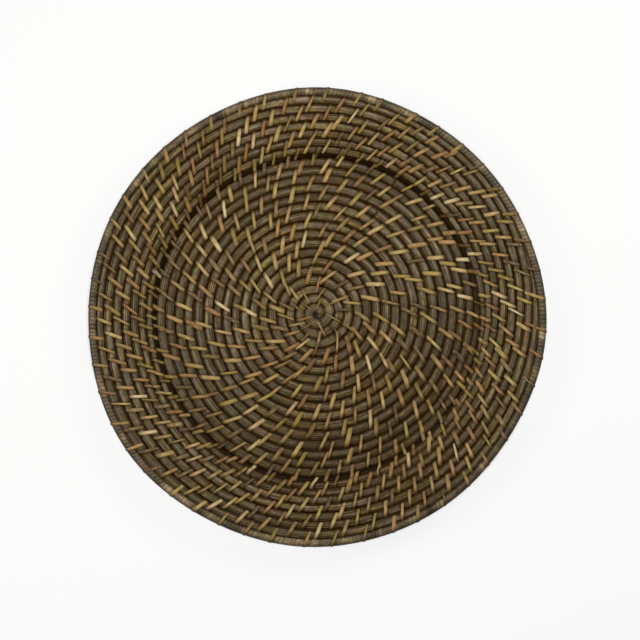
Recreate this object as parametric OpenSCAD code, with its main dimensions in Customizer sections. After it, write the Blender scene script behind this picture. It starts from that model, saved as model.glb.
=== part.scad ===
// Charger plate of coiled reed: a flat well, a short steep wall and a sloping rim.
// A bundle of three thin reeds runs in one spiral from the centre to the rim. Each row is tied to the row
// inside it by slanting stitches of split cane, and the outline is closed by a wrapped edge reed.
// Millimetres, +Z up, the underside rests on z = 0, the outline is centred on the Z axis.

/* [Plate] */
// outline diameter over the edge stitches
plate_d = 330; // [329:1:334]
// radius at which the flat well ends and the wall begins to rise
well_r = 115; // [114:0.5:115.5]
// steepest slope of the wall, degrees
wall_slope = 47; // [44:1:48]
// slope of the rim, degrees
rim_slope = 18.5; // [17:0.5:20]

/* [Coil] */
// diameter of one reed of the bundle
reed_d = 2.5; // [2.2:0.05:2.5]
// distance from row to row in the well
coil_pitch = 6.76; // [6.7:0.02:6.8]
// how far the coil's start lies off the middle of the outline
coil_offset = 4.2; // [2:0.2:4.4]
// direction in which it lies off, and in which the coil ends, degrees from +X
coil_dir = 60; // [0:5:355]
// gap left between two reed lengths that butt
butt_gap = 0.4; // [0.2:0.1:1]

/* [Binding] */
// width of the split cane
strip_w = 1.7; // [1.2:0.1:1.8]
// thickness of the split cane
strip_t = 0.35; // [0.25:0.05:0.35]
// slant of the stitches in the well, degrees
well_slant = 18; // [6:1:18]
// slant of the stitches on the rim, degrees
rim_slant = 12; // [4:1:12]

/* [Edge] */
// diameter of the edge reed
edge_d = 3.2; // [2.8:0.1:3.2]
// thickness of the edge wrapping
wrap_t = 0.5; // [0.3:0.05:0.5]
// turns of the edge wrapping, a multiple of three
wrap_turns = 360; // [300:30:360]

/* [Hidden] */
$fn = 96;
fit = 0.06;
turns_end = 24.5;
start_turn = 0.465;

// three reeds in a triangle about the bundle's middle: one above, two below
reed_step = reed_d + 0.1;
top_at = [0, reed_step / 2 / cos(30)];
inner_at = [-reed_step / 2, -reed_step / 2 * tan(30)];
outer_at = [reed_step / 2, -reed_step / 2 * tan(30)];
bundle_r = reed_step / 2 / cos(30) + reed_d / 2;
belt_r = bundle_r + fit;
row_z = belt_r + strip_t;

edge_r = edge_d / 2 + 0.1 + wrap_t;
edge_at = plate_d / 2 - edge_r - fit - strip_t;

// the cross-section of the plate, followed from the centre outwards: flat, curve, wall, curve, rim
curve_a = 6;
wall_len = 5;
curve_b = 5;
s_a = well_r;
s_b = s_a + curve_a;
s_c = s_b + wall_len;
s_d = s_c + curve_b;
function slope(s) = s < s_a ? 0 : s < s_b ? wall_slope * (s - s_a) / curve_a : s < s_c ? wall_slope
  : s < s_d ? wall_slope + (rim_slope - wall_slope) * (s - s_c) / curve_b : rim_slope;
function bend(len, a, b) = let (k = len / ((b - a) * PI / 180)) [k * (sin(b) - sin(a)), k * (cos(a) - cos(b))];
function line_to(len, a) = [len * cos(a), len * sin(a)];
p_a = [s_a, 0];
p_b = p_a + bend(curve_a, 0, wall_slope);
p_c = p_b + line_to(wall_len, wall_slope);
p_d = p_c + bend(curve_b, wall_slope, rim_slope);
function section(s) = s <= s_a + 0.001 ? [s, 0]
  : s < s_b ? p_a + bend(s - s_a, 0, slope(s))
  : s < s_c + 0.001 ? p_b + line_to(s - s_b, wall_slope)
  : s < s_d ? p_c + bend(s - s_c, wall_slope, slope(s))
  : p_d + line_to(s - s_d, rim_slope);

// the last row lies inside the edge reed, with room for its stitches between
last_r = edge_at - edge_r - reed_d * cos(rim_slope) - 0.75;
last_s = s_d + (last_r - p_d[0]) / cos(rim_slope);
edge_z = section(last_s)[1] + (edge_at - last_r) * tan(rim_slope);

// crossing number j of the spiral over the line through the coil's start: even on one side, odd on the other
pack_s = 118;
function side(j) = j % 2 == 0 ? 1 : -1;
function shift(t) = coil_offset * (0.48 + 0.52 * max(0, 1 - t / 8));
function flat_s(j) = coil_pitch * (j / 2 + start_turn) + side(j) * shift(j / 2);
pack_t = (pack_s - shift(20)) / coil_pitch - start_turn;
// on one side the rows keep their distance from the middle, on the other each moves out by a whole row
lag = 2 * shift(20) - coil_pitch / 2;
function arc_s(j) = flat_s(j) < pack_s - (j % 2 == 0 ? 0 : lag) ? flat_s(j)
  : j % 2 == 1 ? arc_s(j - 1) - lag
  : pack_s + (j / 2 - pack_t) * (last_s - pack_s) / (turns_end - 0.5 - pack_t);
// the bundle rolls more gently than the section bends
function roll(s) = lookup(s, [[s_a - 5, 0], [s_b + 1, 0.7 * wall_slope], [s_c, 0.7 * wall_slope], [s_d + 5, rim_slope]]);
// radius and height at which a reed, placed at q in the bundle, crosses the line
function cross_at(j, q) = let (s = arc_s(j), b = roll(s), c = section(s))
  [c[0] + q[0] * cos(b) - q[1] * sin(b), row_z + c[1] + q[0] * sin(b) + q[1] * cos(b)];
// half a turn: middle of its circle on the line, radius, middle height, rise
function half_turn(j, q) = let (a = cross_at(j, q), b = cross_at(j + 1, q))
  [side(j) * (a[0] - b[0]) / 2, (a[0] + b[0]) / 2, (a[1] + b[1]) / 2, b[1] - a[1]];
// middle of the bundle after t turns
coil_mid = [coil_offset, 0];
function row_at(t) = let (j = floor(2 * t), h = half_turn(j, [0, 0]), a = 360 * t)
  [h[0] + h[1] * cos(a), h[1] * sin(a), h[2] - side(j) * h[3] / 2 * cos(a)];

// a half turn tilts to climb, and the reed turns about itself so that it meets the next half turn squarely
function tilt(j, q) = let (h = half_turn(j, q)) atan(h[3] / (2 * h[1]));
function turned(j, q, j0) = j <= j0 ? 0 : turned(j - 1, q, j0) + tilt(j - 1, q) + tilt(j, q);

module half_reed(j, q, d, cut, j0) {
  h = half_turn(j, q);
  translate([h[0], 0, h[2]])
    rotate([0, side(j) * tilt(j, q), 0])
      rotate([0, 0, j % 2 == 0 ? 0 : 180])
        rotate_extrude(angle = 180 - cut / h[1] * 180 / PI)
          translate([norm([h[1], h[3] / 2]), 0]) rotate(turned(j, q, j0)) circle(d = d);
}

// one reed length, from turn t0 to turn t1
module reed(q, t0, t1) {
  rotate([0, 0, coil_dir])
    for (j = [2 * t0 : 2 * t1 - 1])
      half_reed(j, q, reed_d, j == 2 * t1 - 1 ? butt_gap : 0, 2 * t0);
}

// last reed length, running on past the end of the coil along the edge until it is cut off
module last_reed(q, t0, more) {
  j_end = 2 * turns_end;
  e = cross_at(j_end, q);
  rotate([0, 0, coil_dir]) {
    for (j = [2 * t0 : j_end - 1])
      half_reed(j, q, reed_d, 0, 2 * t0);
    translate([0, 0, e[1]])
      rotate([0, 0, 180])
        rotate_extrude(angle = more)
          translate([e[0], 0]) rotate(turned(j_end - 1, q, 2 * t0) + tilt(j_end - 1, q)) circle(d = reed_d);
  }
}

// outline of a strip drawn tight round two circles
module belt(d, r1, r2) {
  a = asin((r1 - r2) / d);
  k = r1 == r2 ? 1 : 0.99;
  translate([-d / 2, 0]) circle(r1);
  translate([d / 2, 0]) circle(r2);
  polygon([
    [-d / 2 + k * r1 * sin(a), k * r1 * cos(a)], [-d / 2 + k * r1 * sin(a), -k * r1 * cos(a)],
    [d / 2 + k * r2 * sin(a), -k * r2 * cos(a)], [d / 2 + k * r2 * sin(a), k * r2 * cos(a)]
  ]);
}

// one stitch round the places p (inner) and q (outer)
module loop(p, q, r1, r2, slant, w) {
  v = q - p;
  d = norm(v);
  round_in = pow(d / 2 * tan(slant) + w / 2, 2) / (2 * max(4, norm([p[0] - coil_mid[0], p[1] - coil_mid[1]]) - r1));
  far = d / cos(slant) + w * tan(slant) + 0.3 + round_in;
  translate((p + q) / 2)
    rotate([0, -asin(v[2] / d), atan2(v[1], v[0])])
      rotate([90, 0, -slant])
        translate([-round_in / 2, 0, 0])
          linear_extrude(w, center = true)
            difference() {
              belt(far, r1 + strip_t, r2 + strip_t);
              belt(far, r1, r2);
            }
}

// stitches in each turn: the maker keeps the same number for some rows, then adds some
function per_turn(i) = i < 2 ? 5 : i < 4 ? 8 : i < 6 ? 11 : i < 9 ? 16 : i < 15 ? 22 : i < 17 ? 32 : 48;
function phase(i) = i < 17 ? 0.47 * i : i < 20 ? 0.59 * i - 0.76 : 0.54 * i + 0.24;
function plain_turn(i, m) = i + ((m + phase(i)) % per_turn(i)) / per_turn(i);
function turn_r(t) = norm(row_at(t));
function slant_at(t) = t < 2 ? 5 : t < 4 ? 10 : t < 16 ? well_slant : t < 19.5 ? 5 : rim_slant;
function width_at(t) = t < 2 ? 0.6 * strip_w : t < 4 ? 0.75 * strip_w : strip_w;
// a stitch that would lie on one of the row inside moves aside
function beside(t) = let (
    i = floor(t - 1), n = per_turn(i), a = (t - 1 - i) * n - phase(i),
    off = (a - round(a)) / n * 2 * PI * turn_r(t - 0.5),
    s = slant_at(t), lim = (strip_w + 0.5) / cos(s), mid = -coil_pitch * tan(s), d = off - mid)
  abs(d) >= lim ? t : t + ((d >= 0 ? lim : -lim) - d) / (2 * PI * turn_r(t - 0.5));
// its leg also keeps clear of the outer leg of a stitch two rows in, which lies in the same groove
function reach(t) = (coil_pitch / 2 + belt_r + strip_t) * sin(slant_at(t));
function apart(t) = let (
    i = floor(t - 2), n = per_turn(i), a = (t - 2 - i) * n - phase(i),
    d = (a - round(a)) / n * 2 * PI * turn_r(t - 1) + reach(t) + reach(t - 2), lim = strip_w + 0.4)
  abs(d) >= lim ? t : t + ((d >= 0 ? lim : -lim) - d) / (2 * PI * turn_r(t - 1));
function stitch_turn(i, m) = i < 2 ? plain_turn(i, m) : i < 4 ? beside(plain_turn(i, m)) : apart(beside(plain_turn(i, m)));

// the stitches of turns i0 to i1, as far as the coil goes
module stitches(i0, i1) {
  rotate([0, 0, coil_dir])
    for (i = [i0 : i1])
      for (m = [0 : per_turn(i) - 1]) {
        t = stitch_turn(i, m);
        if (t < turns_end - 0.005)
          loop(row_at(t - 1), row_at(t), belt_r, belt_r, slant_at(t), width_at(t));
      }
}

// the stitches from the last row over the edge, where they follow turn i
module edge_stitches(i) {
  rotate([0, 0, coil_dir])
    for (m = [0 : per_turn(i) - 1]) {
      t = stitch_turn(i, m) - 1;
      p = row_at(t);
      a = atan2(p[1], p[0]);
      if (t > turns_end - 1 && t < turns_end - 0.005)
        loop(p, [edge_at * cos(a), edge_at * sin(a), row_z + edge_z], belt_r, edge_r + fit, 5, strip_w);
    }
}

// a third of the edge wrapping: close turns round the edge reed
module wrapping(third) {
  n = wrap_turns / 3;
  step = 360 / wrap_turns;
  translate([0, 0, row_z + edge_z])
    for (k = [0 : n - 1])
      rotate([0, 0, coil_dir + 120 * third + (k + 0.04) * step])
        rotate_extrude(angle = 0.92 * step)
          translate([edge_at, 0])
            difference() {
              circle(edge_r);
              circle(edge_d / 2 + 0.1);
            }
}

stain = [0.20, 0.16, 0.11];
stain_b = [0.23, 0.18, 0.12];
stain_c = [0.17, 0.13, 0.09];
cane = [0.66, 0.48, 0.22];
dark_cane = [0.30, 0.22, 0.13];

module top_reed_1() color(stain) reed(top_at, 0, 12);
module top_reed_2() color(stain_b) reed(top_at, 12, 16);
module top_reed_3() color(stain) reed(top_at, 16, 20);
module top_reed_4() color(stain_b) last_reed(top_at, 20, 4);
module inner_reed_1() color(stain_c) reed(inner_at, 0, 11);
module inner_reed_2() color(stain) reed(inner_at, 11, 15.5);
module inner_reed_3() color(stain_c) reed(inner_at, 15.5, 19.5);
module inner_reed_4() color(stain) last_reed(inner_at, 19.5, 2);
module outer_reed_1() color(stain_b) reed(outer_at, 0, 13);
module outer_reed_2() color(stain_c) reed(outer_at, 13, 16.5);
module outer_reed_3() color(stain_b) reed(outer_at, 16.5, 20.5);
module outer_reed_4() color(stain_c) last_reed(outer_at, 20.5, 75);
module centre_lashing() color(cane) stitches(1, 1);
module well_binding_1() color(cane) stitches(2, 5);
module well_binding_2() color(cane) stitches(6, 8);
module well_binding_3() color(cane) stitches(9, 10);
module well_binding_4() color(cane) stitches(11, 12);
module well_binding_5() color(cane) stitches(13, 14);
module well_binding_6() color(cane) stitches(15, 16);
module wall_binding_1() color(cane) stitches(17, 17);
module wall_binding_2() color(cane) stitches(18, 18);
module rim_binding_1() color(cane) stitches(19, 19);
module rim_binding_2() color(cane) stitches(20, 20);
module rim_binding_3() color(cane) stitches(21, 21);
module rim_binding_4() color(cane) stitches(22, 22);
module rim_binding_5() color(cane) stitches(23, 23);
module rim_binding_6() color(cane) stitches(24, 24);
module edge_binding_1() color(cane) edge_stitches(24);
module edge_binding_2() color(cane) edge_stitches(25);
module edge_reed() color(stain)
  translate([0, 0, row_z + edge_z]) rotate([0, 0, coil_dir + 20]) rotate_extrude(angle = 360 - butt_gap / edge_at * 180 / PI)
    translate([edge_at, 0]) circle(d = edge_d);
module edge_wrap_1() color(dark_cane) wrapping(0);
module edge_wrap_2() color(dark_cane) wrapping(1);
module edge_wrap_3() color(dark_cane) wrapping(2);

top_reed_1();
top_reed_2();
top_reed_3();
top_reed_4();
inner_reed_1();
inner_reed_2();
inner_reed_3();
inner_reed_4();
outer_reed_1();
outer_reed_2();
outer_reed_3();
outer_reed_4();
centre_lashing();
well_binding_1();
well_binding_2();
well_binding_3();
well_binding_4();
well_binding_5();
well_binding_6();
wall_binding_1();
wall_binding_2();
rim_binding_1();
rim_binding_2();
rim_binding_3();
rim_binding_4();
rim_binding_5();
rim_binding_6();
edge_binding_1();
edge_binding_2();
edge_reed();
edge_wrap_1();
edge_wrap_2();
edge_wrap_3();
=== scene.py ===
import math

import bpy
import numpy as np
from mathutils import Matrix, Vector


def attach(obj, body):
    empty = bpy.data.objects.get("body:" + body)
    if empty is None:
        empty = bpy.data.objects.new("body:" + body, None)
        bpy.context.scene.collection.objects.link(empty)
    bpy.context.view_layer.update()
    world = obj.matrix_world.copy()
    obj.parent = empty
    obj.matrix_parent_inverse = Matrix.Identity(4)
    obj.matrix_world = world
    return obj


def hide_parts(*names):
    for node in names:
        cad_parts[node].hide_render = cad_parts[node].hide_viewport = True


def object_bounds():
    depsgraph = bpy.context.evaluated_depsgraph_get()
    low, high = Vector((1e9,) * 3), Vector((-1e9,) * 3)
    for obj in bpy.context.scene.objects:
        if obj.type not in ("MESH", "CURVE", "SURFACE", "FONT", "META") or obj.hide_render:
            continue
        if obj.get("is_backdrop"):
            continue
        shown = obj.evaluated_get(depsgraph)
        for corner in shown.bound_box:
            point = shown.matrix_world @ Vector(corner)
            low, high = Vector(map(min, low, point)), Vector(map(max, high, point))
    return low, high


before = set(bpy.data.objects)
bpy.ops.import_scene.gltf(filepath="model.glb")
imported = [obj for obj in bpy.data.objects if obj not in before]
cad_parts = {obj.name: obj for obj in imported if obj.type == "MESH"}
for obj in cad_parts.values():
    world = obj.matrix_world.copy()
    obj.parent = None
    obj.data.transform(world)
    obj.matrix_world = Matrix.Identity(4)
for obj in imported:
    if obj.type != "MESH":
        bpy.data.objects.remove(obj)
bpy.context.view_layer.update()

rng = np.random.default_rng(614)
MM = 0.001
TAU = 2 * math.pi
rad = np.radians

# ---------------------------------------------------------------- the CAD model's own spiral, in millimetres
PLATE_D, WELL_R, WALL_SLOPE, RIM_SLOPE = 330.0, 115.0, 47.0, 18.5
REED_D, PITCH, OFFSET, COIL_DIR = 2.5, 6.76, 4.2, 60.0
STRIP_T, EDGE_D, WRAP_T, FIT = 0.35, 3.2, 0.5, 0.06
TURNS, START = 24.5, 0.465
STEP = REED_D + 0.1
BUNDLE_R = STEP / 2 / math.cos(math.pi / 6) + REED_D / 2
BELT_R = BUNDLE_R + FIT
ROW_Z = BELT_R + STRIP_T
EDGE_R = EDGE_D / 2 + 0.1 + WRAP_T
EDGE_AT = PLATE_D / 2 - EDGE_R - FIT - STRIP_T
S_A = WELL_R
S_B = S_A + 6
S_C = S_B + 5
S_D = S_C + 5


def slope(s):
    return np.interp(s, [S_A, S_B, S_C, S_D], [0, WALL_SLOPE, WALL_SLOPE, RIM_SLOPE])


_S = np.linspace(0, 200, 20001)
_M = rad(slope(_S[:-1] + 0.005))
_R = np.r_[0, np.cumsum(np.cos(_M)) * 0.01]
_Z = np.r_[0, np.cumsum(np.sin(_M)) * 0.01]


def section(s):
    return np.interp(s, _S, _R), np.interp(s, _S, _Z)


LAST_R = EDGE_AT - EDGE_R - REED_D * math.cos(math.radians(RIM_SLOPE)) - 0.75
LAST_S = S_D + (LAST_R - section(S_D)[0]) / math.cos(math.radians(RIM_SLOPE))
EDGE_Z = float(section(LAST_S)[1] + (EDGE_AT - LAST_R) * math.tan(math.radians(RIM_SLOPE)))


# ---------------------------------------------------------------- the rows as they were laid by hand
def smooth(x):
    x = np.clip(x, 0, 1)
    return x * x * (3 - 2 * x)


def smooth_noise(x, step, seed):
    """Smooth noise along x, about -1 to 1, with one free value each step."""
    g = np.random.default_rng(seed)
    n = int(np.ceil((x.max() - x.min()) / step)) + 4
    v = g.uniform(-1, 1, n)
    u = (x - x.min()) / step + 1
    i = np.floor(u).astype(int)
    f = u - i
    f = f * f * (3 - 2 * f)
    return v[i] * (1 - f) + v[i + 1] * f


def angle_of(t):
    return math.radians(COIL_DIR) + TAU * t


def lobe(t, at_deg, half):
    """One at a direction on the plate, falling to nothing round it."""
    d = np.mod(np.degrees(angle_of(t)) - at_deg + 180, 360) - 180
    return np.exp(-(d / half) ** 2)


# distance of the groove outside the row from the plate's middle: in the well it grows steadily, one value a turn
COIL_TURN = np.arange(-1, 17)
COIL_AT = [0.0, 6.55, 13.2, 20.0, 26.9, 33.6, 40.1, 46.9, 53.7, 60.2, 66.7, 73.5, 80.3, 87.1, 94.2, 100.9, 106.9, 113.9]
# further out it stays the same for most of a turn, then steps out by a whole row near one place
STEP_TURN = np.arange(14, 27)
STEP_AT = [101.9, 109.0, 115.6, 118.4, 123.4, 128.5, 134.2, 140.5, 146.6, 152.8, 158.9, 163.0, 166.0]
STEP_PLACE = 0.826
# and it is out of round: once, twice, three and four times round (cos, sin), at some turns
SWAY_TURN = [1, 4, 7, 10, 13, 16, 19, 22, 24.8]
SWAY = (
    ([0.6, 1.2, 1.2, 1.5, 1.9, 1.1, 0.25, 0.45, -0.8], [2.6, 3.2, 3.0, 2.9, 2.8, 0.1, 0.7, 0.55, 0.45]),
    ([-0.3, -0.3, 0.1, 0.0, 0.3, 0.4, -0.45, -0.4, -0.1], [0.0, -0.15, 0.15, 0.25, 0.3, -0.05, 0.2, 0.05, 0.0]),
    ([0.3, 0.0, 0.3, 0.25, 0.15, 0.05, 0.2, 0.05, -0.1], [0.2, 0.15, 0.1, -0.15, 0.35, -0.1, 0.25, 0.05, 0.1]),
    ([0.25, 0.0, -0.15, 0.0, 0.1, 0.1, 0.15, 0.15, -0.2], [0.15, -0.15, 0.0, 0.0, -0.15, -0.6, -0.05, -0.2, -0.05]))


def stepped(t):
    u = t + 1 - STEP_PLACE
    n = np.floor(u)
    v = u - n
    w = np.interp(n, [16, 20, 24], [0.11, 0.075, 0.095])
    c = lambda k: np.interp(k, STEP_TURN, STEP_AT)
    up = smooth((v - 1 + w) / (2 * w))
    lo = smooth((v + w) / (2 * w))
    return c(n) + (c(n + 1) - c(n)) * up - (c(n) - c(n - 1)) * (1 - lo)


def groove(t):
    a = angle_of(t)
    f = smooth((t - 14.4) / 1.2)
    r = np.interp(t, COIL_TURN, COIL_AT) * (1 - f) + stepped(t) * f
    for k, (c, q) in enumerate(SWAY):
        r = r + np.interp(t, SWAY_TURN, c) * np.cos((k + 1) * a) + np.interp(t, SWAY_TURN, q) * np.sin((k + 1) * a)
    return r


OUTLINE = [(2, -0.06, 0.29), (3, 0.56, -0.35), (4, 0.33, 0.12), (5, 0.55, 0.12), (6, -0.22, -0.12), (7, 0.25, -0.06), (8, 0.19, -0.14)]


def outline(a):
    return sum(c * np.cos(n * a) + s * np.sin(n * a) for n, c, s in OUTLINE)


def length(t):
    return TAU * (3.2 * t + 0.5 * PITCH * np.maximum(t, 0) ** 2)


EDGE_RUN, EDGE_W, EDGE_H = 161.75, 2.95, 2.25
T_START = -0.30
T = np.arange(T_START, 26.0, 0.001)
LEN = length(T)
_dir = np.stack([np.cos(angle_of(T)), np.sin(angle_of(T))], -1)
_in, _out = groove(T - 1), groove(T)
_r = _in + np.maximum(3.05, (_out - _in) / 2)
# the first turn winds round the eye of the coil
_eye = np.array([0.9, 2.9])
_f = smooth((T - 0.7) / 1.2)[:, None]
_xy = (_eye + (3.1 + 6.75 * T)[:, None] * _dir) * (1 - _f) + _dir * _r[:, None] * _f


# the wall is steeper and the rim flatter than the CAD model's even slopes, the edge is as high
_RISE_R = np.arange(0, 190, 0.1)
_RISE_Z = np.interp(_RISE_R, [0, 112, 116, 118.65, 121.45, 126.45, 131.55, 161.7, 190], [0, 0, 0, 0.35, 6.0, 9.0, 12.0, EDGE_Z, EDGE_Z + 28.3 * 0.25])
_g = np.exp(-0.5 * (np.arange(-30, 31) / 10) ** 2)
_RISE_Z[40:-40] = np.convolve(_RISE_Z, _g / _g.sum(), "same")[40:-40]
_SLOPE = np.degrees(np.arctan(np.gradient(_RISE_Z, 0.1)))
_g = np.exp(-0.5 * (np.arange(-60, 61) / 20) ** 2)
_SLOPE[70:-70] = np.convolve(_SLOPE, _g / _g.sum(), "same")[70:-70]


def rise(r):
    return np.interp(r, _RISE_R, _RISE_Z)


def back(v, k=1.0):
    """The values v one turn further in (k = 1) or out (k = -1)."""
    return np.stack([np.interp(T - k, T, v[:, i]) for i in range(v.shape[1])], -1)


_p = np.column_stack([_xy, rise(np.hypot(_xy[:, 0], _xy[:, 1]))])
_d_in, _d_out = np.linalg.norm(_p - back(_p), axis=1), np.linalg.norm(back(_p, -1.0) - _p, axis=1)
_w = np.where(T < 1, _d_out, np.where(T > 23.6, _d_in, 0.5 * (_d_in + _d_out))) * 0.515
_w = np.clip(_w, 2.6, 3.7) * (0.62 + 0.38 * smooth((T - T_START) / 0.22))
_w = np.where(T < 0.6, np.minimum(_w, 3.1 + 6.75 * T + 0.7), _w)
_w = np.where(T > 15, np.maximum(_w, 2.85), _w)
_w = _w * (1 + 0.05 * smooth((T - 15.6) / 0.4) * (1 - smooth((T - 20) / 0.5)))
# the last turn fills the room between the turn before and the edge, and runs out where that room ends
_f = smooth((T - 23.84) / 0.09)
_r0 = np.hypot(_xy[:, 0], _xy[:, 1])
_from = np.interp(T - 1, T, _r0) + 0.98 * np.interp(T - 1, T, _w)
_to = EDGE_RUN + outline(angle_of(T)) - EDGE_W + 0.25
_xy = _xy * (1 + _f * ((_from + _to) / 2 / _r0 - 1))[:, None]
_w = _w * (1 - _f) + _f * np.clip((_to - _from) / 2 * 1.05, 0.25, 4.4)
# neighbours share an uneven groove
_nu = (0.16 * smooth_noise(LEN, 17, 3) + 0.11 * smooth_noise(LEN, 6.5, 4)) * smooth((T - 0.3) / 1.5) * (1 - smooth((T - 23.6) / 0.2))
_nu1 = np.interp(T - 1, T, _nu)
_xy = _xy + _dir * (0.5 * (_nu + _nu1))[:, None]
_w = _w + np.where(T > 0.3, 0.5 * (_nu - _nu1), 0)
_h = 2.76 + 0.10 * smooth_noise(LEN, 14, 5)
_h = np.minimum(_h, 0.85 * _w + 0.35)
_z = ROW_Z + rise(np.hypot(_xy[:, 0], _xy[:, 1])) + 0.09 * smooth_noise(LEN, 19, 6) - np.where(T < 1.0, 0.8 * (2.76 - _h), 0)
ROW = np.column_stack([_xy, _z])
ROLL = rad(0.85 * np.interp(np.hypot(_xy[:, 0], _xy[:, 1]), _RISE_R, _SLOPE))
TWIST = 0.30 * smooth_noise(LEN, 75, 7) + 0.12 * smooth_noise(LEN, 24, 8)
WIDE, HIGH = _w, _h


def at(v, t):
    if v.ndim == 1:
        return np.interp(t, T, v)
    return np.stack([np.interp(t, T, v[:, k]) for k in range(v.shape[1])], -1)


def bundle_frame(t):
    """Middle, outward and up directions and tangent of the bundle at turns t."""
    p = at(ROW, t)
    e = 0.0015
    tan = at(ROW, t + e) - at(ROW, t - e)
    tan /= np.linalg.norm(tan, axis=-1, keepdims=True)
    b = at(ROLL, t)
    flat = np.stack([tan[:, 1], -tan[:, 0], np.zeros(len(t))], -1)
    flat /= np.linalg.norm(flat, axis=-1, keepdims=True)
    up = np.array([0, 0, 1.0])
    out = flat * np.cos(b)[:, None] + up * np.sin(b)[:, None]
    nrm = -flat * np.sin(b)[:, None] + up * np.cos(b)[:, None]
    return p, out, nrm, tan


def coil_middle(t):
    return _eye * np.clip(1 - (t - 2) / 14, 0.2, 1)


# ---------------------------------------------------------------- where the stitches go
COUNTS = {1: 7, 2: 9, 3: 11, 4: 12, 5: 13, 6: 14, 7: 16, 8: 17, 9: 19, 10: 21, 11: 23, 12: 23, 13: 25, 14: 28, 15: 32, 16: 33, 17: 40}
RIM_COUNT = 48


def rim_turns(i):
    return i + np.sort(np.mod(np.arange(RIM_COUNT) + 0.54 * i + 0.24, RIM_COUNT)) / RIM_COUNT


def well_rows():
    """Each new row is stitched between the stitches of the row inside; where they get too far apart one is added."""
    rows = {1: np.sort(np.mod(np.arange(7) / 7 + 0.07, 1))}
    for i in range(2, 18):
        f = rows[i - 1] + 0.40 / len(rows[i - 1])
        while len(f) < COUNTS[i]:
            f = np.sort(np.mod(f, 1))
            gap = np.diff(np.r_[f, f[0] + 1]) * (1 + 0.25 * rng.uniform(-1, 1, len(f)))
            k = int(np.argmax(gap))
            f = np.r_[f, f[k] + np.diff(np.r_[f, f[0] + 1])[k] / 2]
        f = np.sort(np.mod(f, 1))
        for _ in range(6):
            prev, nxt = np.r_[f[-1] - 1, f[:-1]], np.r_[f[1:], f[0] + 1]
            f = f + 0.35 * ((prev + nxt) / 2 - f)
        rows[i] = np.sort(np.mod(f, 1))
    return rows


WELL = well_rows()


def stitch_list(i):
    base = i + WELL[i] if i < 18 else rim_turns(i)
    n = len(base)
    # the first rows are crowded and were sewn less evenly
    base = base + rng.normal(0, 0.15 if i < 5 else 0.055, n) / n
    lean = {1: 8, 2: 15, 3: 20}.get(i, 26 if i < 17 else 20 if i < 19 else 26)
    wide = {1: 1.5, 2: 1.7, 3: 1.9}.get(i, 2.7 if i < 16 else 2.5)
    return base, rng.normal(lean, 9.0 if i < 5 else 3.2, n), np.clip(rng.normal(wide, 0.38, n), 1.2, 3.4)


STITCHES = {i: stitch_list(i) for i in range(1, 25)}
_keep = STITCHES[24][0] < 24.79
STITCHES[24] = tuple(v[_keep] for v in STITCHES[24])
_fr = np.sort(np.mod(np.arange(RIM_COUNT) + 0.74, RIM_COUNT)) / RIM_COUNT + rng.normal(0, 0.05, RIM_COUNT) / RIM_COUNT
EDGE_T = np.where(_fr < 0.82, 24 + _fr, 23 + _fr)

# rows are pressed in under the stitches, and the same mask paints shadow on the rows beside the stitches
_dent_and_shadow = np.zeros(len(T))
for i, (ts, sl, wd) in STITCHES.items():
    r = np.hypot(*at(ROW[:, :2], ts).T)
    mv = np.tan(rad(sl)) * 3.3 / (TAU * np.maximum(r, 4))
    for place in (ts - mv, ts - 1 + mv):
        for q, rr in zip(place, r):
            k = int(round((q - T_START) / 0.001))
            span = max(2, int(5.0 / (TAU * rr * 0.001)))
            lo, hi = max(k - span, 0), min(k + span, len(T))
            x = (T[lo:hi] - q) * TAU * rr
            _dent_and_shadow[lo:hi] = np.maximum(_dent_and_shadow[lo:hi], np.exp(-(x / 2.0) ** 4))
DENT_AND_SHADOW = _dent_and_shadow * smooth((T - 0.2) / 0.6)
HIGH = HIGH - 0.20 * DENT_AND_SHADOW


# ---------------------------------------------------------------- meshes
def make(name, verts, quads, caps, attrs, material, node):
    """One closed mesh object that stands for a CAD node. verts in millimetres."""
    me = bpy.data.meshes.new(name)
    verts = np.asarray(verts, float) * MM
    loops = np.concatenate([np.asarray(quads, np.int32).ravel()] + [np.asarray(c, np.int32) for c in caps])
    sizes = np.r_[np.full(len(quads), 4, np.int32), np.array([len(c) for c in caps], np.int32)].astype(np.int32)
    me.vertices.add(len(verts))
    me.vertices.foreach_set("co", verts.astype(np.float32).ravel())
    me.loops.add(len(loops))
    me.loops.foreach_set("vertex_index", loops)
    me.polygons.add(len(sizes))
    me.polygons.foreach_set("loop_start", np.r_[0, np.cumsum(sizes)[:-1]].astype(np.int32))
    me.update(calc_edges=True)
    me.validate()
    me.polygons.foreach_set("use_smooth", np.ones(len(me.polygons), bool))
    for key, val in attrs.items():
        val = np.asarray(val, np.float32)
        if val.ndim == 2:
            a = me.attributes.new(key, "FLOAT_VECTOR", "POINT")
            a.data.foreach_set("vector", val.ravel())
        else:
            a = me.attributes.new(key, "FLOAT", "POINT")
            a.data.foreach_set("value", val)
    me.materials.append(material)
    ob = bpy.data.objects.new(name, me)
    bpy.context.scene.collection.objects.link(ob)
    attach(ob, "root")
    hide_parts(node)
    return ob


def tube_quads(rings, around, closed=False, start=0):
    i = np.arange(rings if closed else rings - 1)[:, None]
    k = np.arange(around)[None, :]
    a = start + i * around
    b = start + ((i + 1) % rings) * around
    k2 = (k + 1) % around
    return np.stack([a + k, a + k2, b + k2, b + k], -1).reshape(-1, 4)


# ---------------------------------------------------------------- materials
def material(name):
    m = bpy.data.materials.new(name)
    m.use_nodes = True
    nt = m.node_tree
    nt.nodes.clear()
    return m, nt


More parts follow.
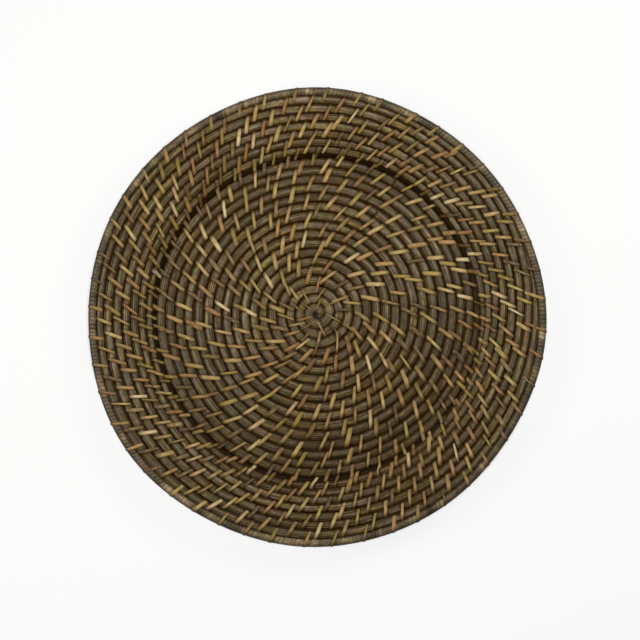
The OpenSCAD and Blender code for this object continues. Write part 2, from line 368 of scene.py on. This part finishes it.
class N:
    """Small helper to write node trees."""

    def __init__(self, nt):
        self.nt = nt

    def __call__(self, kind, **props):
        n = self.nt.nodes.new("ShaderNode" + kind)
        for k, v in props.items():
            setattr(n, k, v)
        return n

    def put(self, sock, v):
        if hasattr(v, "is_output"):
            self.nt.links.new(v, sock)
        elif v is not None:
            sock.default_value = v

    def attr(self, name, out="Fac"):
        return self("Attribute", attribute_name=name).outputs[out]

    def noise(self, vec, scale, detail=4, rough=0.55, dist=0.0):
        n = self("TexNoise")
        self.put(n.inputs["Vector"], vec)
        n.inputs["Scale"].default_value = scale
        n.inputs["Detail"].default_value = detail
        n.inputs["Roughness"].default_value = rough
        n.inputs["Distortion"].default_value = dist
        return n.outputs["Fac"]

    def scaled(self, vec, s):
        n = self("Mapping")
        self.put(n.inputs["Vector"], vec)
        n.inputs["Scale"].default_value = s
        return n.outputs["Vector"]

    def math(self, op, a, b=None, clamp=False):
        n = self("Math", operation=op, use_clamp=clamp)
        self.put(n.inputs[0], a)
        self.put(n.inputs[1], b)
        return n.outputs[0]

    def remap(self, v, a, b, c, d):
        n = self("MapRange")
        self.put(n.inputs["Value"], v)
        for k, x in zip(("From Min", "From Max", "To Min", "To Max"), (a, b, c, d)):
            n.inputs[k].default_value = x
        return n.outputs["Result"]

    def ramp(self, v, stops):
        n = self("ValToRGB")
        self.put(n.inputs["Fac"], v)
        e = n.color_ramp.elements
        while len(e) < len(stops):
            e.new(0.5)
        for s, (p, c) in zip(e, stops):
            s.position = p
            s.color = (*c, 1)
        return n.outputs["Color"]

    def mix(self, f, a, b, blend="MIX"):
        n = self("Mix", data_type="RGBA", blend_type=blend)
        self.put(n.inputs["Factor"], f)
        self.put(n.inputs[6], a)
        self.put(n.inputs[7], b)
        return n.outputs[2]

    def bump(self, h, strength, dist, normal=None):
        n = self("Bump")
        self.put(n.inputs["Height"], h)
        n.inputs["Strength"].default_value = strength
        n.inputs["Distance"].default_value = dist
        if normal is not None:
            self.put(n.inputs["Normal"], normal)
        return n.outputs["Normal"]

    def finish(self, color, rough, normal, spec=0.5, **more):
        b = self("BsdfPrincipled")
        self.put(b.inputs["Base Color"], color)
        self.put(b.inputs["Roughness"], rough)
        self.put(b.inputs["Normal"], normal)
        self.put(b.inputs["Specular IOR Level"], spec)
        for k, v in more.items():
            b.inputs[k].default_value = v
        o = self("OutputMaterial")
        self.nt.links.new(b.outputs["BSDF"], o.inputs["Surface"])


def col(r, g, b):
    """sRGB 0-255 to linear."""
    f = lambda c: c / 12.92 if c <= 0.04045 else ((c + 0.055) / 1.055) ** 2.4
    return tuple(f(v / 255) for v in (r, g, b))


def reed_material():
    m, nt = material("stained_reed")
    n = N(nt)
    g = n.attr("grain", "Vector")
    fibre = n.noise(n.scaled(g, (0.05, 2.6, 1.0)), 1.0, 5, 0.6)
    fine = n.noise(n.scaled(g, (0.12, 7.0, 1.0)), 1.0, 3, 0.6)
    patch = n.noise(n.scaled(g, (0.035, 0.25, 1.0)), 1.0, 3, 0.55)
    spot = n.noise(n.scaled(g, (0.16, 0.5, 1.0)), 1.0, 4, 0.6)
    strand = n.noise(n.scaled(g, (0.045, 0.85, 1.0)), 1.0, 2, 0.5)
    dash = n.noise(n.scaled(g, (0.26, 0.8, 1.0)), 1.0, 3, 0.6)
    v = n.math("ADD", n.math("MULTIPLY", fibre, 0.40), n.math("MULTIPLY", patch, 0.60))
    v = n.math("ADD", v, n.math("MULTIPLY", n.math("SUBTRACT", strand, 0.5), 0.60))
    v = n.math("ADD", v, n.math("MULTIPLY", n.math("SUBTRACT", dash, 0.5), 0.90))
    v = n.math("ADD", v, n.math("MULTIPLY", n.math("SUBTRACT", fine, 0.5), 0.20))
    v = n.math("ADD", v, n.math("MULTIPLY", n.attr("tone_and_shade"), 0.14))
    base = n.ramp(v, [(0.26, col(38, 30, 14)), (0.42, col(69, 57, 33)), (0.55, col(95, 82, 52)), (0.66, col(119, 103, 68)), (0.80, col(155, 135, 93))])
    # warm brown patches where the stain is thin
    thin = n.remap(spot, 0.54, 0.76, 0.0, 0.4)
    base = n.mix(thin, base, col(108, 76, 36) + (1,))
    # and grey-green ones where it is thick
    grey = n.noise(n.scaled(g, (0.11, 0.35, 1.0)), 1.0, 3, 0.5, 0.4)
    base = n.mix(n.remap(grey, 0.50, 0.72, 0.0, 0.6), base, col(73, 71, 54) + (1,))
    # the stain took unevenly: redder, greener, bluer and yellower spots
    red = n.noise(n.scaled(g, (0.11, 0.40, 1.7)), 1.0, 3, 0.65)
    blue = n.noise(n.scaled(g, (0.10, 0.36, 2.3)), 1.0, 3, 0.65)
    shift = n("CombineXYZ")
    n.put(shift.inputs[0], n.remap(red, 0.34, 0.66, 0.75, 1.25))
    n.put(shift.inputs[1], n.remap(red, 0.34, 0.66, 1.06, 0.94))
    n.put(shift.inputs[2], n.remap(blue, 0.36, 0.64, 0.20, 1.90))
    tinted = n("VectorMath", operation="MULTIPLY")
    n.put(tinted.inputs[0], base)
    n.put(tinted.inputs[1], shift.outputs[0])
    base = tinted.outputs[0]
    # painted highlight on the crest of each row, painted shade down its flanks and, darkest, in the grooves between
    # rows
    crest_and_shade = n.attr("crest_and_shade")
    base = n.mix(n.remap(crest_and_shade, 0.8, 1.0, 0.0, 0.22), base, col(119, 105, 73) + (1,))
    base = n.mix(n.remap(crest_and_shade, 1.0, 0.66, 0.0, 0.62), base, col(76, 53, 20) + (1,))
    base = n.mix(n.remap(crest_and_shade, 0.84, 0.32, 0.0, 0.82), base, col(40, 23, 1) + (1,))
    base = n.mix(n.remap(crest_and_shade, 0.2, -0.5, 0.0, 0.8), base, col(20, 11, 2) + (1,))
    rough = n.remap(fibre, 0.3, 0.7, 0.55, 0.36)
    h = n.math("ADD", fibre, n.math("MULTIPLY", fine, 0.5))
    nor = n.bump(h, 0.55, 0.00018)
    n.finish(base, rough, nor, n.remap(crest_and_shade, 0.35, 0.95, 0.06, 0.42))
    return m


def cane_material(name, stops, dark, pink, olive, gloss=(0.30, 0.50)):
    m, nt = material(name)
    n = N(nt)
    g = n.attr("grain", "Vector")
    fibre = n.noise(n.scaled(g, (0.10, 5.0, 1.0)), 1.0, 4, 0.6)
    fine = n.noise(n.scaled(g, (0.3, 14.0, 1.0)), 1.0, 2, 0.6)
    blot = n.noise(n.scaled(g, (0.22, 0.45, 1.0)), 1.0, 4, 0.6)
    v = n.math("ADD", n.attr("tint"), n.math("MULTIPLY", n.math("SUBTRACT", blot, 0.5), 0.85))
    v = n.math("ADD", v, n.math("MULTIPLY", n.math("SUBTRACT", fibre, 0.5), 0.45), True)
    base = n.ramp(v, stops)
    hue = n.attr("hue")
    base = n.mix(n.remap(hue, 0.1, 1.0, 0.0, 0.6), base, pink + (1,))
    base = n.mix(n.remap(hue, -0.1, -1.0, 0.0, 0.6), base, olive + (1,))
    # painted shade along the sides of the strip, where it goes in, and on the steep flank of its own row
    base = n.mix(n.remap(n.attr("light_mask"), 0.88, 0.0, 0.0, 0.85), base, dark + (1,))
    streak = n.remap(fine, 0.40, 0.30, 0.0, 0.5)
    base = n.mix(streak, base, dark + (1,))
    rough = n.remap(blot, 0.35, 0.7, gloss[0], gloss[1])
    h = n.math("ADD", fibre, n.math("MULTIPLY", fine, 0.4))
    nor = n.bump(h, 0.5, 0.00012)
    n.finish(base, rough, nor, 0.5)
    return m


reed_mat = reed_material()
cane_mat = cane_material(
    "split_cane",
    [(0.0, col(72, 56, 31)), (0.22, col(114, 88, 46)), (0.42, col(148, 119, 66)), (0.60, col(171, 142, 83)), (0.80, col(199, 172, 114)), (1.0, col(222, 203, 160))],
    col(50, 33, 15), col(164, 114, 60), col(160, 139, 52),
)
strip_mat = cane_material(
    "edge_strip",
    [(0.0, col(29, 21, 9)), (0.30, col(62, 51, 31)), (0.55, col(92, 78, 52)), (0.80, col(138, 119, 84)), (1.0, col(192, 170, 128))],
    col(27, 16, 4), col(112, 84, 58), col(96, 90, 48), (0.40, 0.60),
)


# ---------------------------------------------------------------- the reeds
def reed_profile(n_arc=13, half=57.0, big=BUNDLE_R, rho=0.5):
    """Outline of a reed pressed into a third of the bundle, about the bundle's middle, pointing along +x."""
    a = math.radians(half)
    pts = []
    ac = a - math.asin(rho / (big - rho))
    for k in np.linspace(-ac, ac, n_arc):
        pts.append((big * math.cos(k), big * math.sin(k)))
    c = ((big - rho) * math.cos(ac), (big - rho) * math.sin(ac))
    for k in np.linspace(ac, a + math.pi / 2, 4)[1:]:
        pts.append((c[0] + rho * math.cos(k), c[1] + rho * math.sin(k)))
    ap = rho / math.sin(a)
    for k in np.linspace(a + math.pi / 2, TAU - a - math.pi / 2, 3):
        pts.append((ap + rho * math.cos(k), rho * math.sin(k)))
    for k in np.linspace(-a - math.pi / 2, -ac, 4)[:-1]:
        pts.append((c[0] + rho * math.cos(k), -c[1] + rho * math.sin(k)))
    return np.array(pts)


PROFILE = reed_profile()
AROUND = np.r_[0, np.cumsum(np.hypot(*np.diff(PROFILE, axis=0).T))]


def turns_of(t0, t1, step=1.9):
    """Places along the coil from turn t0 to t1, a step apart or closer."""
    ts = [t0]
    while ts[-1] < t1:
        r = max(0.7, 3.2 + PITCH * ts[-1])
        ts.append(ts[-1] + min(step, 0.16 * r) / (TAU * r))
    ts = np.array(ts)
    return t0 + (ts - t0) * (t1 - t0) / (ts[-1] - t0)


def reed(name, angle, t0, t1, seed):
    t = turns_of(t0, t1 - (0.4 / (TAU * (3.2 + PITCH * t1)) if t1 < 24 else 0))
    p, out, nrm, tan = bundle_frame(t)
    ph = math.radians(angle) + at(TWIST, t)
    ln = length(t)
    size = 1 + 0.04 * smooth_noise(ln, 40, seed)
    g = np.random.default_rng(seed)
    # splits along the reed, which come and go
    x, y = np.tile(PROFILE[:, 0], (len(t), 1)), np.tile(PROFILE[:, 1], (len(t), 1))
    crease = np.zeros(x.shape)
    for k, sd in ((3, 11), (6, 12), (9, 13)):
        crease[:, k] = np.clip(0.5 + 0.9 * smooth_noise(ln, 45, seed * 3 + sd), 0, 1)
    x = x * (1 - 0.10 * crease)
    y = y * (1 - 0.10 * crease)
    a = (x * np.cos(ph)[:, None] - y * np.sin(ph)[:, None]) * size[:, None]
    b = (x * np.sin(ph)[:, None] + y * np.cos(ph)[:, None]) * size[:, None]
    ka, kb = at(WIDE, t) / BUNDLE_R, at(HIGH, t) / BUNDLE_R
    v = p[:, None, :] + out[:, None, :] * (a * ka[:, None])[..., None] + nrm[:, None, :] * (b * kb[:, None])[..., None]
    k = PROFILE.shape[0]
    along = np.r_[0, np.cumsum(np.linalg.norm(np.diff(p, axis=0), axis=1))]
    grain = np.stack([np.broadcast_to(along[:, None], a.shape), np.broadcast_to(AROUND[None, :], a.shape), np.full(a.shape, seed * 7.31)], -1)
    lean = 0.5 * at(ROLL, t)[:, None] + 0.18
    # height on the bundle, lowered for painted shade in the creases between strands and painted shadow beside the
    # stitches
    crest_and_shade = (b * np.cos(lean) + a * np.sin(lean)) / BUNDLE_R - 0.62 * crease - (0.45 * at(DENT_AND_SHADOW, t))[:, None]
    # painted shade at the foot of the wall, less towards 348° and a little less towards 70°; a little painted shade in
    # the eye of the coil, and less groove shade over the first turns
    foot_shade = smooth((t - STEP_PLACE - 15.93) / 0.14) * (1 - smooth((t - STEP_PLACE - 16.93) / 0.14)) * (1.20 - 0.85 * lobe(t, 348, 38) - 0.22 * lobe(t, 70, 40))
    crest_and_shade = crest_and_shade - (0.85 * foot_shade + 0.10 * (1 - smooth((t - 0.1) / 0.5)) - 0.20 * (1 - smooth((t - 0.8) / 3.5)))[:, None]
    # and painted light on the rows above it: lighter overall, with painted shade towards 262° and more light towards
    # 348°
    lit_wall_rows = smooth((t - STEP_PLACE - 16.93) / 0.14) * (1 - smooth((t - STEP_PLACE - 18.9) / 0.2))
    crest_and_shade = crest_and_shade - (lit_wall_rows * (0.22 * lobe(t, 262, 55) - 0.12 * lobe(t, 348, 38)))[:, None]
    # random tone along the reed and per reed, plus the painted light of the wall rows and the painted shade at the
    # wall's foot
    tone_and_shade = np.broadcast_to((0.7 * smooth_noise(ln, 70, seed + 50) + 0.5 * g.uniform(-1, 1) + 0.65 * lit_wall_rows - 0.8 * foot_shade)[:, None], a.shape)
    quads = tube_quads(len(t), k)
    caps = [np.arange(k)[::-1], np.arange(k) + (len(t) - 1) * k]
    return make(name, v.reshape(-1, 3), quads, caps,
                {"grain": grain.reshape(-1, 3), "crest_and_shade": crest_and_shade.ravel(), "tone_and_shade": tone_and_shade.ravel()}, reed_mat, name.replace("v_", ""))


REEDS = {
    "top_reed": (90, [-0.28, 12, 16, 20, 24.89]),
    "inner_reed": (210, [-0.27, 11, 15.5, 19.5, 24.87]),
    "outer_reed": (330, [-0.29, 13, 16.5, 20.5, 24.91]),
}
seed = 100
for key, (angle, cuts) in REEDS.items():
    for i in range(4):
        seed += 1
        reed(f"v_{key}_{i + 1}", angle, cuts[i], cuts[i + 1], seed)


# ---------------------------------------------------------------- the stitches
STRIP = np.array([(-0.5, 0.0), (-0.5, 0.35), (-0.27, 0.85), (0.0, 1.0), (0.27, 0.85), (0.5, 0.35), (0.5, 0.0)])


def stitch_path(wo, ho, wi, hi, d, dip):
    """Places of one stitch in the plane across the rows: a is outwards from the own row, h upwards, with its outward normal."""
    pts = []

    def round_row(mid, w, h, deg, f, q=1.0):
        c, s = math.cos(math.radians(deg)), math.sin(math.radians(deg))
        nx, ny = c / w, s / h
        m = math.hypot(nx, ny)
        pts.append((mid + w * q * c, h * q * s, nx / m, ny / m, f))

    for k in np.linspace(-90, 90, 13):
        round_row(0.0, wo, ho, k, 0.0)
    for f in (0.2, 0.36, 0.5, 0.64, 0.8):
        pts.append((-d * f, ho + (hi - ho) * f - dip * math.sin(math.pi * f) ** 2, 0, 1, f))
    for k, f in ((90, 1.0), (102, 1.0), (112, 1.05), (121, 1.1)):
        round_row(-d, wi, hi, k, f)
    for k, q in ((128, 0.88), (133, 0.60)):
        round_row(-d, wi, hi, k, 1.2, q)
    top = pts[13:]
    for x in reversed(top):
        pts.append((x[0], -x[1], x[2], -x[3], x[4]))
    return np.array(pts)


def stitches(name, turns, slant, width, edge=None, tone_and_shade=0.0, dip=0.42):
    """Closed loops round the row at each turn and the row one turn before, or round the edge and the row."""
    turns = np.asarray(turns, float)
    n = len(turns)
    if edge is None:
        po, _, _, tan = bundle_frame(turns)
        pi = at(ROW, turns - 1)
        wo, ho = at(WIDE, turns) + 0.04, at(HIGH, turns) + 0.04
        wi, hi = at(WIDE, turns - 1) + 0.04, at(HIGH, turns - 1) + 0.04
    else:
        po, tan, ew, eh = edge
        pi = at(ROW, turns)
        wo, ho = np.full(n, ew), np.full(n, eh)
        wi, hi = at(WIDE, turns) + 0.04, at(HIGH, turns) + 0.04
    verts, grain, tint, hue, light_mask = [], [], [], [], []
    for i in range(n):
        u = po[i] - pi[i]
        u -= tan[i] * u.dot(tan[i])
        d = np.linalg.norm(u)
        u /= d
        up = np.cross(u, tan[i])
        if up[2] < 0:
            up = -up
        path = stitch_path(wo[i], ho[i], wi[i], hi[i], d, dip * rng.uniform(0.7, 1.2))
        k = len(path)
        sl = math.tan(math.radians(slant[i]))
        c = coil_middle(turns[i])
        lay = []
        for off in (0.0, 1.0):
            a, h = path[:, 0] + path[:, 2] * off, path[:, 1] + path[:, 3] * off
            q = po[i] + u * a[:, None] + up * h[:, None]
            # slide along the row: outwards is clockwise
            mv = -sl * (path[:, 0] + d / 2)
            x, y = q[:, 0] - c[0], q[:, 1] - c[1]
            an = mv / np.maximum(np.hypot(x, y), 3)
            lay.append(np.stack([c[0] + x * np.cos(an) - y * np.sin(an), c[1] + x * np.sin(an) + y * np.cos(an), q[:, 2]], -1))
        base, nor = lay[0], lay[1] - lay[0]
        nor /= np.linalg.norm(nor, axis=1, keepdims=True)
        t = np.roll(base, -1, 0) - np.roll(base, 1, 0)
        t /= np.linalg.norm(t, axis=1, keepdims=True)
        wd = np.cross(t, nor)
        wd /= np.linalg.norm(wd, axis=1, keepdims=True)
        nor = np.cross(wd, t)
        w = width[i] * (1 + 0.06 * np.sin(np.linspace(0, TAU, k) + rng.uniform(0, TAU)))
        thick = STRIP_T * rng.uniform(0.9, 1.25)
        v = base[:, None, :] + wd[:, None, :] * (STRIP[None, :, 0, None] * w[:, None, None]) + nor[:, None, :] * (STRIP[None, :, 1, None] * thick)
        verts.append(v.reshape(-1, 3))
        s = np.r_[0, np.cumsum(np.linalg.norm(np.diff(base, axis=0), axis=1))]
        sd = rng.uniform(0, 900)
        shp = (k, len(STRIP))
        grain.append(np.stack([np.broadcast_to(s[:, None], shp), np.broadcast_to(STRIP[None, :, 0] * width[i], shp), np.full(shp, sd)], -1).reshape(-1, 3))
        light = rng.normal(0.50 + tone_and_shade, 0.20) if rng.uniform() > 0.15 else rng.normal(0.16, 0.07)
        tint.append(np.full(k * len(STRIP), np.clip(light, 0.02, 0.98)))
        hue.append(np.full(k * len(STRIP), np.clip(rng.normal(0, 0.62), -1, 1)))
        # painted light across the strip: lit along its middle, painted shade along its sides, towards the end where it
        # goes in and on the steep flank of its own row
        across = 1 - np.abs(STRIP[:, 0]) * 2 * 0.54
        end = np.interp(path[:, 4], [0, 0.5, 0.8, 1.0, 1.05, 1.1, 1.2], [1, 1, 0.92, 0.75, 0.5, 0.3, 0.05])
        side_f = np.interp(np.degrees(np.arctan2(path[:, 1], path[:, 0])), [-90, -10, 25, 50, 70, 90, 180], [0.5, 0.1, 0.15, 0.4, 0.65, 0.85, 1])
        light_mask.append((across[None, :] * end[:, None] * np.where(path[:, 4] == 0, side_f, 1)[:, None]).ravel())
    m = k * len(STRIP)
    quads = np.concatenate([tube_quads(k, len(STRIP), True, i * m) for i in range(n)])
    return make(name, np.concatenate(verts), quads, [],
                {"grain": np.concatenate(grain), "tint": np.concatenate(tint), "hue": np.concatenate(hue), "light_mask": np.concatenate(light_mask)},
                cane_mat, name.replace("v_", ""))


NODE_ROWS = (("centre_lashing", (1,)), ("well_binding_1", (2, 3, 4, 5)), ("well_binding_2", (6, 7, 8)), ("well_binding_3", (9, 10)), ("well_binding_4", (11, 12)),
             ("well_binding_5", (13, 14)), ("well_binding_6", (15, 16)), ("wall_binding_1", (17,)), ("wall_binding_2", (18,)), ("rim_binding_1", (19,)),
             ("rim_binding_2", (20,)), ("rim_binding_3", (21,)), ("rim_binding_4", (22,)), ("rim_binding_5", (23,)), ("rim_binding_6", (24,)))
for name, rows in NODE_ROWS:
    t, sl, w = (np.concatenate([STITCHES[i][k] for i in rows]) for k in range(3))
    # wall_binding_1 is darkened as painted shade at the foot of the wall
    stitches("v_" + name, t, sl, w, tone_and_shade={"centre_lashing": -0.18, "well_binding_1": -0.07, "wall_binding_1": -0.42, "wall_binding_2": 0.04}.get(name, 0.0))

# ---------------------------------------------------------------- the edge
def edge_point(an):
    r = EDGE_RUN + outline(an)
    return np.stack([r * np.cos(an), r * np.sin(an), np.full(np.shape(an), ROW_Z + EDGE_Z)], -1)


ea = np.arctan2(*at(ROW, EDGE_T)[:, 1::-1].T)
turn = np.mod(np.degrees(ea) - COIL_DIR, 360)
for name, pick in (("edge_binding_1", turn >= 180), ("edge_binding_2", turn < 180)):
    a = ea[pick]
    stitches("v_" + name, EDGE_T[pick], rng.normal(22, 4, len(a)), np.clip(rng.normal(2.3, 0.35, len(a)), 1.2, 3.2),
             (edge_point(a), np.stack([-np.sin(a), np.cos(a), 0 * a], -1), EDGE_W + 0.03, EDGE_H + 0.03), tone_and_shade=-0.14, dip=0.3)


def edge_reed():
    g0 = math.radians(COIL_DIR + 20)
    an = g0 + np.linspace(0, TAU - 0.4 / EDGE_AT, 420)
    p = edge_point(an)
    out = np.stack([np.cos(an), np.sin(an), 0 * an], -1)
    k = 12
    f = np.linspace(0, TAU, k, endpoint=False)
    v = p[:, None, :] + out[:, None, :] * (EDGE_W - 0.55) * np.cos(f)[None, :, None] + np.array([0, 0, 1.0]) * (EDGE_H - 0.55) * np.sin(f)[None, :, None]
    shp = (len(an), k)
    grain = np.stack([np.broadcast_to((an * EDGE_AT)[:, None], shp), np.broadcast_to((f * EDGE_D / 2)[None, :], shp), np.full(shp, 77.0)], -1)
    # painted shade on the lower half of the edge reed, lighter on its top
    make("v_edge_reed", v.reshape(-1, 3), tube_quads(len(an), k), [np.arange(k)[::-1], np.arange(k) + (len(an) - 1) * k],
         {"grain": grain.reshape(-1, 3), "crest_and_shade": np.broadcast_to(0.4 * np.sin(f)[None, :], shp).ravel(), "tone_and_shade": np.zeros(shp).ravel()}, reed_mat, "edge_reed")


edge_reed()


def edge_wrap(third):
    turns, per = 120, 14
    flat = STRIP * [1, 0.22] + [0, 0.62]
    flat[[0, -1], 1] = 0
    k = turns * per + 1
    f = np.arange(k) / per
    g = np.random.default_rng(900 + third)
    gaps = 1 + 0.10 * g.uniform(-1, 1, turns + 1)
    gaps *= turns / gaps[:turns].sum()
    pos = np.interp(f, np.arange(turns + 1), np.r_[0, np.cumsum(gaps[:turns])])
    an = math.radians(COIL_DIR + 120 * third) + (0.012 + pos / turns * 0.9995) * TAU / 3
    wind = f * TAU + math.pi
    p = edge_point(an)
    out = np.stack([np.cos(an), np.sin(an), 0 * an], -1)
    tang = np.stack([-np.sin(an), np.cos(an), 0 * an], -1)
    up = np.array([0, 0, 1.0])
    thick = 0.44
    bw, bh = EDGE_W - thick, EDGE_H - thick
    c, s = np.cos(wind)[:, None], np.sin(wind)[:, None]
    nor = out * c / bw + up * s / bh
    nor /= np.linalg.norm(nor, axis=1, keepdims=True)
    pitch = EDGE_AT * TAU / 360
    lift = 0.03 * smooth_noise(f, 1.3, 930 + third)
    w = pitch * (1.03 + 0.05 * smooth_noise(f, 1.6, 960 + third))
    base = p + out * c * bw + up * s * bh + nor * lift[:, None]
    v = base[:, None, :] + tang[:, None, :] * (flat[None, :, 0, None] * w[:, None, None]) + nor[:, None, :] * (flat[None, :, 1, None] * thick)
    shp = (k, len(STRIP))
    # the stain runs along the edge, over turn after turn
    deg = np.degrees(np.arctan2(np.sin(wind), np.cos(wind)))
    grain = np.stack([(an * EDGE_AT)[:, None] + flat[None, :, 0] * w[:, None], np.broadcast_to((np.radians(deg) * EDGE_W)[:, None], shp), np.full(shp, 40.0 + third)], -1)
    each = np.arange(turns + 1)
    tt = np.interp(f, each, np.clip(0.54 + 0.36 * smooth_noise(each.astype(float), 3.4, 980 + third) + g.normal(0, 0.11, turns + 1), 0.02, 0.98))
    hh = np.interp(f, each, np.clip(0.75 * smooth_noise(each.astype(float), 5.0, 990 + third) + g.normal(0, 0.15, turns + 1), -1, 1))
    # painted light on top of each turn, painted shade down the outside and underneath
    wrap_light = np.broadcast_to((1 - np.abs(STRIP[:, 0]) * 0.45)[None, :], shp) * np.interp(deg, [-180, -90, 0, 25, 60, 90, 150, 180], [0.1, 0.3, 0.0, 0.12, 0.66, 1.0, 0.5, 0.1])[:, None]
    m = len(STRIP)
    make(f"v_edge_wrap_{third + 1}", v.reshape(-1, 3), tube_quads(k, m), [np.arange(m)[::-1], np.arange(m) + (k - 1) * m],
         {"grain": grain.reshape(-1, 3), "tint": np.broadcast_to(tt[:, None], shp).ravel(), "hue": np.broadcast_to(hh[:, None], shp).ravel(), "light_mask": wrap_light.ravel()},
         strip_mat, f"edge_wrap_{third + 1}")


for third in range(3):
    edge_wrap(third)


# ---------------------------------------------------------------- floor, light, camera
def floor():
    m, nt = material("pale_floor")
    n = N(nt)
    b = n("BsdfPrincipled")
    b.inputs["Base Color"].default_value = (0.10, 0.10, 0.10, 1)
    b.inputs["Roughness"].default_value = 0.9
    b.inputs["Specular IOR Level"].default_value = 0.0
    b.inputs["Emission Color"].default_value = (1, 1, 1, 1)
    # the floor's glow is turned down under the plate: a painted shadow
    pos = n("NewGeometry").outputs["Position"]
    far = n("VectorMath", operation="LENGTH")
    n.put(far.inputs[0], pos)
    # painted shadow: dim under the plate, soft towards its edge, pale beyond
    under = n.remap(far.outputs["Value"], 0.1150, 0.1580, 0.018, 0.13)
    n.put(b.inputs["Emission Strength"], n.math("ADD", under, n.remap(far.outputs["Value"], 0.1560, 0.1670, 0.0, 0.755)))
    o = n("OutputMaterial")
    nt.links.new(b.outputs["BSDF"], o.inputs["Surface"])
    me = bpy.data.meshes.new("floor")
    s = 3.0
    me.from_pydata([(-s, -s, -0.0002), (s, -s, -0.0002), (s, s, -0.0002), (-s, s, -0.0002)], [], [(0, 1, 2, 3)])
    me.materials.append(m)
    ob = bpy.data.objects.new("floor", me)
    bpy.context.scene.collection.objects.link(ob)
    ob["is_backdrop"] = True


floor()


def lamp(name, az, el, dist, size, power, color=(1, 1, 1)):
    l = bpy.data.lights.new(name, "AREA")
    l.shape = "DISK"
    l.size = size
    l.energy = power
    l.color = color
    o = bpy.data.objects.new(name, l)
    a, e = math.radians(az), math.radians(el)
    d = Vector((math.cos(a) * math.cos(e), math.sin(a) * math.cos(e), math.sin(e)))
    o.location = d * dist
    o.rotation_mode = "QUATERNION"
    o.rotation_quaternion = d.to_track_quat("Z", "Y")
    bpy.context.scene.collection.objects.link(o)


WARM = (1.0, 0.965, 0.89)
lamp("key_left", 183, 52, 0.72, 0.30, 2.62, WARM)
lamp("key_right", 36, 50, 0.72, 0.30, 2.68, WARM)
lamp("near_top", 98, 52, 0.45, 0.25, 0.44, WARM)
world = bpy.data.worlds.new("studio")
bpy.context.scene.world = world
world.use_nodes = True
bg = next(n for n in world.node_tree.nodes if n.type == "BACKGROUND")
bg.inputs["Color"].default_value = (1.0, 1.0, 1.0, 1)
bg.inputs["Strength"].default_value = 0.05

scene = bpy.context.scene
scene.view_settings.view_transform = "Standard"
scene.view_settings.look = "None"
PX = 0.000719
cam = bpy.data.cameras.new("camera")
cam.sensor_width = 36
cam.lens = 250
cam_ob = bpy.data.objects.new("camera", cam)
scene.collection.objects.link(cam_ob)
dist = PX * 640 * cam.lens / 36
cam_ob.location = ((320 - 315.6) * PX, -(320 - 317.9) * PX, 0.024 + dist)
cam.clip_end = 20
scene.camera = cam_ob

lo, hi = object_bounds()
